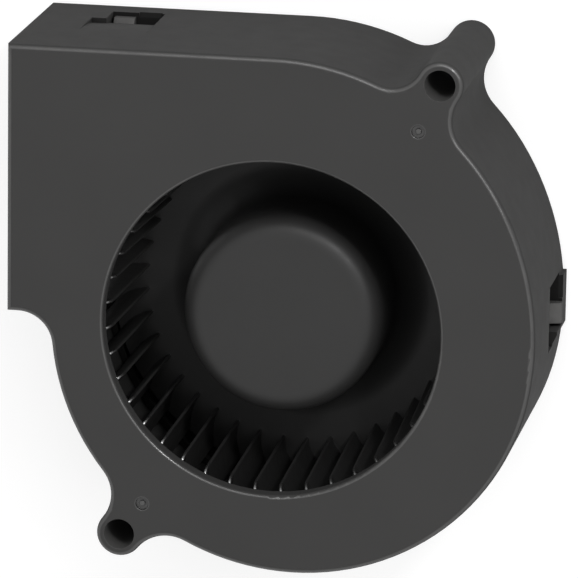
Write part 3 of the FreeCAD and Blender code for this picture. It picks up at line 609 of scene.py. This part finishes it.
# %% Helpers for meshes
SMOOTH_BELOW = math.radians(35.0)
STEPS_ROUND = 180
WELD_DISTANCE = 1e-7


def link_mesh(name, mesh):
    """Object in the scene from a mesh, shaded smooth except across sharp edges."""
    mesh.polygons.foreach_set("use_smooth", [True] * len(mesh.polygons))
    mesh.set_sharp_from_angle(angle=SMOOTH_BELOW)
    made = bpy.data.objects.new(name, mesh)
    bpy.context.scene.collection.objects.link(made)
    return made


def new_object(name, shape):
    """Object in the scene from a finished bmesh."""
    bmesh.ops.recalc_face_normals(shape, faces=shape.faces)
    mesh = bpy.data.meshes.new(name)
    shape.to_mesh(mesh)
    shape.free()
    return link_mesh(name, mesh)


def bend(centre, radius, start, end, steps=10):
    """Points (radius, height) along an arc of a profile, angles in degrees."""
    points = []
    for i in range(steps + 1):
        angle = math.radians(start + (end - start) * i / steps)
        points.append((centre[0] + radius * math.cos(angle), centre[1] + radius * math.sin(angle)))
    return points


def lathe(name, profile):
    """Closed profile of (radius, height) points turned round the Z axis."""
    shape = bmesh.new()
    corners = [shape.verts.new((r, 0.0, z)) for r, z in profile]
    edges = [shape.edges.new(pair) for pair in zip(corners, corners[1:] + corners[:1])]
    bmesh.ops.spin(
        shape, geom=corners + edges, cent=(0, 0, 0), axis=(0, 0, 1), angle=2.0 * math.pi,
        steps=STEPS_ROUND, use_merge=True, use_duplicate=False,
    )
    bmesh.ops.remove_doubles(shape, verts=shape.verts, dist=WELD_DISTANCE)
    return new_object(name, shape)


print("mesh helpers ready")

# %% [markdown]
# ## Hub, back plate and tip ring
#
# The hub is a cup over the motor. At its foot it flares into the back plate, which turns the
# incoming air outwards, and a ring ties the blades together at the inlet end. Turning cup and plate
# apart would leave a corner where the air turns. So they are one profile, and its outer arcs run
# into their neighbours smoothly. It is closed, with an outer and an inner side, and gives the wheel
# a real wall.

# %% Turn the hub and the back plate
def hub_profile():
    """Closed profile: hub face, shoulder, flare and plate, then back along the underside."""
    face = yoke_top + HUB_FACE_THICK
    shoulder = (hub_radius - HUB_SHOULDER, face - HUB_SHOULDER)
    flare = (hub_radius + FLARE, plate_top + FLARE)
    under = FLARE + PLATE_THICK
    points = [(0.0, yoke_top), (0.0, face)]
    points += bend(shoulder, HUB_SHOULDER, 90.0, 0.0, 12)
    points += bend(flare, FLARE, 180.0, 270.0)
    points += [(wheel_radius, plate_top), (wheel_radius, wheel_low)]
    points += bend(flare, under, 270.0, 180.0)
    points += [(yoke_radius, flare[1] + HUB_WALL), (yoke_radius, yoke_top)]
    return points


def tip_ring_profile():
    inner = wheel_radius - TIP_RING_WIDTH
    low = wheel_top - TIP_RING_HEIGHT
    return [(inner, low), (wheel_radius, low), (wheel_radius, wheel_top), (inner, wheel_top)]


hub = lathe("hub", hub_profile())
tip_ring = lathe("tip_ring", tip_ring_profile())
print("hub faces:", len(hub.data.polygons), "ring faces:", len(tip_ring.data.polygons))

# %% [markdown]
# ## Blades
#
# Seen along the axis a blade is a short arc. A section follows that arc from the nose to the rim,
# with its thickness set off to both sides. Sections at rising heights are joined into a closed skin.
# Each starts a little further out than the one below, because the nose leans, and the last ones
# swing out along a quarter turn, which makes the rounded corner. An Array modifier could repeat the
# blade, but it needs a helper object to turn by. A loop turns the one list of sections to each place.

# %% Work out one blade's sections
NOSE_ANGLES = (0, 25, 50, 70, 90)
RUN_SHARES = (0.15, 0.3, 0.5, 0.75, 1.0)
STRAIGHT_STEPS = 4
CORNER_STEPS = 8


def angle_at(radius):
    """Angle on the blade's centre arc at which it is this far from the rotor's axis."""
    reach = math.hypot(blade_foot, BLADE_ARC)
    lean = math.atan2(BLADE_ARC, blade_foot)
    cosine = (radius ** 2 - reach ** 2 - BLADE_ARC ** 2) / (2.0 * BLADE_ARC * reach)
    return lean - math.acos(cosine)


def half_thickness(run):
    """Half the blade's thickness at a run from its nose: round nose, then a slow swell."""
    if run < NOSE_RADIUS:
        return math.sqrt(NOSE_RADIUS ** 2 - (NOSE_RADIUS - run) ** 2)
    swell = min(1.0, (run - NOSE_RADIUS) / THINNED_RUN)
    swell = swell * swell * (3.0 - 2.0 * swell)
    return NOSE_RADIUS + (BLADE_THICK / 2.0 - NOSE_RADIUS) * swell


def blade_section(inner, height):
    """Points of one section: the nose, then pairs on the two faces out to the rim."""
    start = angle_at(inner)
    length = BLADE_ARC * (angle_at(wheel_radius - SINK) - start)
    runs = [NOSE_RADIUS * (1.0 - math.cos(math.radians(a))) for a in NOSE_ANGLES]
    runs += [NOSE_RADIUS + (length - NOSE_RADIUS) * share for share in RUN_SHARES]
    points = []
    for run in runs:
        angle = start + run / BLADE_ARC
        half = half_thickness(run)
        for side in ((1.0, -1.0) if half else (1.0,)):
            radius = BLADE_ARC + side * half
            points.append(Vector((
                blade_foot + radius * math.cos(angle), BLADE_ARC + radius * math.sin(angle), height
            )))
    return points


def blade_levels():
    """(inner radius, height) of each section, from the plate to the rounded inner corner."""
    low = plate_top - FOOT_SINK
    bend_low = wheel_top - SINK - BLADE_CORNER
    levels = []
    for i in range(STRAIGHT_STEPS):
        out = blade_foot + BLADE_RAKE * i / STRAIGHT_STEPS
        levels.append((out, low + (bend_low - low) * i / STRAIGHT_STEPS))
    for i in range(CORNER_STEPS + 1):
        swing = math.radians(90.0 * i / CORNER_STEPS)
        out = blade_foot + BLADE_RAKE + BLADE_CORNER * (1.0 - math.cos(swing))
        levels.append((out, bend_low + BLADE_CORNER * math.sin(swing)))
    return levels


print("sections of a blade:", len(blade_levels()))


# %% Loft one blade and repeat it
def add_blade(shape, sections, turn):
    """One closed blade, turned about the axis: bands between its sections and a cap at each end."""
    spin = Euler((0.0, 0.0, turn)).to_matrix()
    rows = [[shape.verts.new(spin @ point) for point in section] for section in sections]
    for low, high in zip(rows, rows[1:]):
        around = [0] + list(range(1, len(low), 2)) + list(range(len(low) - 1, 1, -2))
        for a, b in zip(around, around[1:] + around[:1]):
            shape.faces.new((low[a], low[b], high[b], high[a]))
    for row in (rows[0], rows[-1]):
        shape.faces.new((row[0], row[1], row[2]))
        for i in range(1, len(row) - 2, 2):
            shape.faces.new((row[i], row[i + 2], row[i + 3], row[i + 1]))


def blades():
    sections = [blade_section(inner, height) for inner, height in blade_levels()]
    shape = bmesh.new()
    for i in range(BLADE_COUNT):
        add_blade(shape, sections, 2.0 * math.pi * i / BLADE_COUNT)
    return new_object("blades", shape)


blade_ring = blades()
print("blade faces:", len(blade_ring.data.polygons))

# %% [markdown]
# ## One skin
#
# Hub, blades and ring now overlap. They could be left so, but the faces inside would stay in the
# mesh and show in a cut. A Boolean union keeps the outer skin alone; its manifold solver suits
# closed forms such as these. The new wheel turns with the rotor and takes the mechanical one's
# place in the picture.

# %% Join them into one skin
def union(name, base, *others):
    """One closed mesh from several that run into each other. The loose ones are removed."""
    for other in others:
        join = base.modifiers.new("join", "BOOLEAN")
        join.operation = "UNION"
        join.solver = "MANIFOLD"
        join.object = other
    evaluated = base.evaluated_get(bpy.context.evaluated_depsgraph_get())
    mesh = bpy.data.meshes.new_from_object(evaluated)
    for loose in (base, *others):
        bpy.data.objects.remove(loose)
    return link_mesh(name, mesh)


wheel = union("blade_wheel", hub, blade_ring, tip_ring)
wheel.data.materials.clear()
wheel.data.materials.append(finishes["impeller_plastic"])
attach(wheel, "rotor")
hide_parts("impeller")
print("wheel faces:", len(wheel.data.polygons))

# %% [markdown]
# ## Floor
#
# The blower stands on plain paper, an ordinary surface that takes the blower's soft shadow. It is
# written as a middle grey, so that it throws little light back onto the walls. A glow that only the
# camera, mirror-like and see-through rays meet lifts the open paper to clean white, as an over-lit
# studio sweep does, without adding light to matt surfaces.

# %% Lay the floor
FLOOR_HALF = 3.0
FLOOR_DROP = 0.02 * MM
FLOOR_PAPER = 0.45
FLOOR_GLOW = 0.64
PAPER_FIBRE = 1.5 * MM


def floor_paper():
    f = Finish("floor_paper")
    grain = f.bump(f.noise(PAPER_FIBRE, detail=2.0), 0.01 * MM, 0.3)
    paper = f.add("ShaderNodeBsdfDiffuse", Color=grey(FLOOR_PAPER), Normal=grain)
    path = f.add("ShaderNodeLightPath").outputs
    seen = f.maths("ADD", path["Is Camera Ray"], path["Is Glossy Ray"])
    seen = f.maths("ADD", seen, path["Is Transmission Ray"])
    strength = f.maths("MULTIPLY", seen, FLOOR_GLOW)
    glow = f.add("ShaderNodeEmission", Color=grey(1.0), Strength=strength)
    both = f.add("ShaderNodeAddShader")
    f.tree.links.new(paper.outputs[0], both.inputs[0])
    f.tree.links.new(glow.outputs[0], both.inputs[1])
    output = f.add("ShaderNodeOutputMaterial")
    f.tree.links.new(both.outputs[0], output.inputs["Surface"])
    return f.material


def add_floor():
    shape = bmesh.new()
    bmesh.ops.create_grid(shape, x_segments=1, y_segments=1, size=FLOOR_HALF)
    mesh = bpy.data.meshes.new("floor")
    shape.to_mesh(mesh)
    shape.free()
    floor = bpy.data.objects.new("floor", mesh)
    floor.location.z = -FLOOR_DROP
    mesh.materials.append(floor_paper())
    bpy.context.scene.collection.objects.link(floor)
    return floor


floor = add_floor()
print("floor laid at", round(floor.location.z / MM, 3), "mm")

# %% [markdown]
# ## Light
#
# Black plastic needs large, soft lights: what shows on it is mostly reflection. Lamps alone would
# leave the walls black between their highlights, and an evenly white room would show no rounds. So
# a room that is brightest overhead gives the even base, a wide strip up to the right draws the pale
# lines along the rounds and the crescent on the hub's shoulder, and a small key beside it makes the
# sparks on the blades.

# %% Set the room, the strip and the key
CEILING_LEVEL = 1.02
HORIZON_LEVEL = 0.45
LAMP_DISTANCE = 0.6
LAMP_ELEVATION = math.radians(46.0)
KEY_AZIMUTH = math.radians(50.0)
KEY_SIZE = (0.05, 0.05)
KEY_WATTS = 0.6
STRIP_AZIMUTH = math.radians(60.0)
STRIP_SIZE = (0.8, 0.12)
STRIP_WATTS = 1.2


def white_room():
    """World that is brightest overhead, where a studio's large ceiling softbox hangs."""
    world = bpy.data.worlds.new("room")
    world.use_nodes = True
    tree = world.node_tree
    direction = tree.nodes.new("ShaderNodeTexCoord").outputs["Generated"]
    height = tree.nodes.new("ShaderNodeSeparateXYZ")
    level = tree.nodes.new("ShaderNodeMapRange")
    level.inputs["To Min"].default_value = HORIZON_LEVEL
    level.inputs["To Max"].default_value = CEILING_LEVEL
    tree.links.new(direction, height.inputs[0])
    tree.links.new(height.outputs["Z"], level.inputs["Value"])
    tree.links.new(level.outputs["Result"], tree.nodes["Background"].inputs["Strength"])
    tree.nodes["Background"].inputs["Color"].default_value = grey(1.0)
    bpy.context.scene.world = world


def softbox(name, azimuth, size, watts):
    """Area light, size (width, height), that faces the blower. Azimuth runs from +X to +Y."""
    data = bpy.data.lights.new(name, "AREA")
    data.shape = "RECTANGLE"
    data.size, data.size_y = size
    data.energy = watts
    light = bpy.data.objects.new(name, data)
    level = math.cos(LAMP_ELEVATION)
    away = Vector((math.cos(azimuth) * level, math.sin(azimuth) * level, math.sin(LAMP_ELEVATION)))
    light.location = LAMP_DISTANCE * away
    light.rotation_euler = (math.pi / 2.0 - LAMP_ELEVATION, 0.0, azimuth + math.pi / 2.0)
    bpy.context.scene.collection.objects.link(light)


white_room()
softbox("key", KEY_AZIMUTH, KEY_SIZE, KEY_WATTS)
softbox("strip", STRIP_AZIMUTH, STRIP_SIZE, STRIP_WATTS)
bpy.context.scene.view_settings.view_transform = "Standard"
print("room from", HORIZON_LEVEL, "at the horizon to", CEILING_LEVEL, "overhead")

# %% [markdown]
# ## Finish
#

# %% Finish
import json
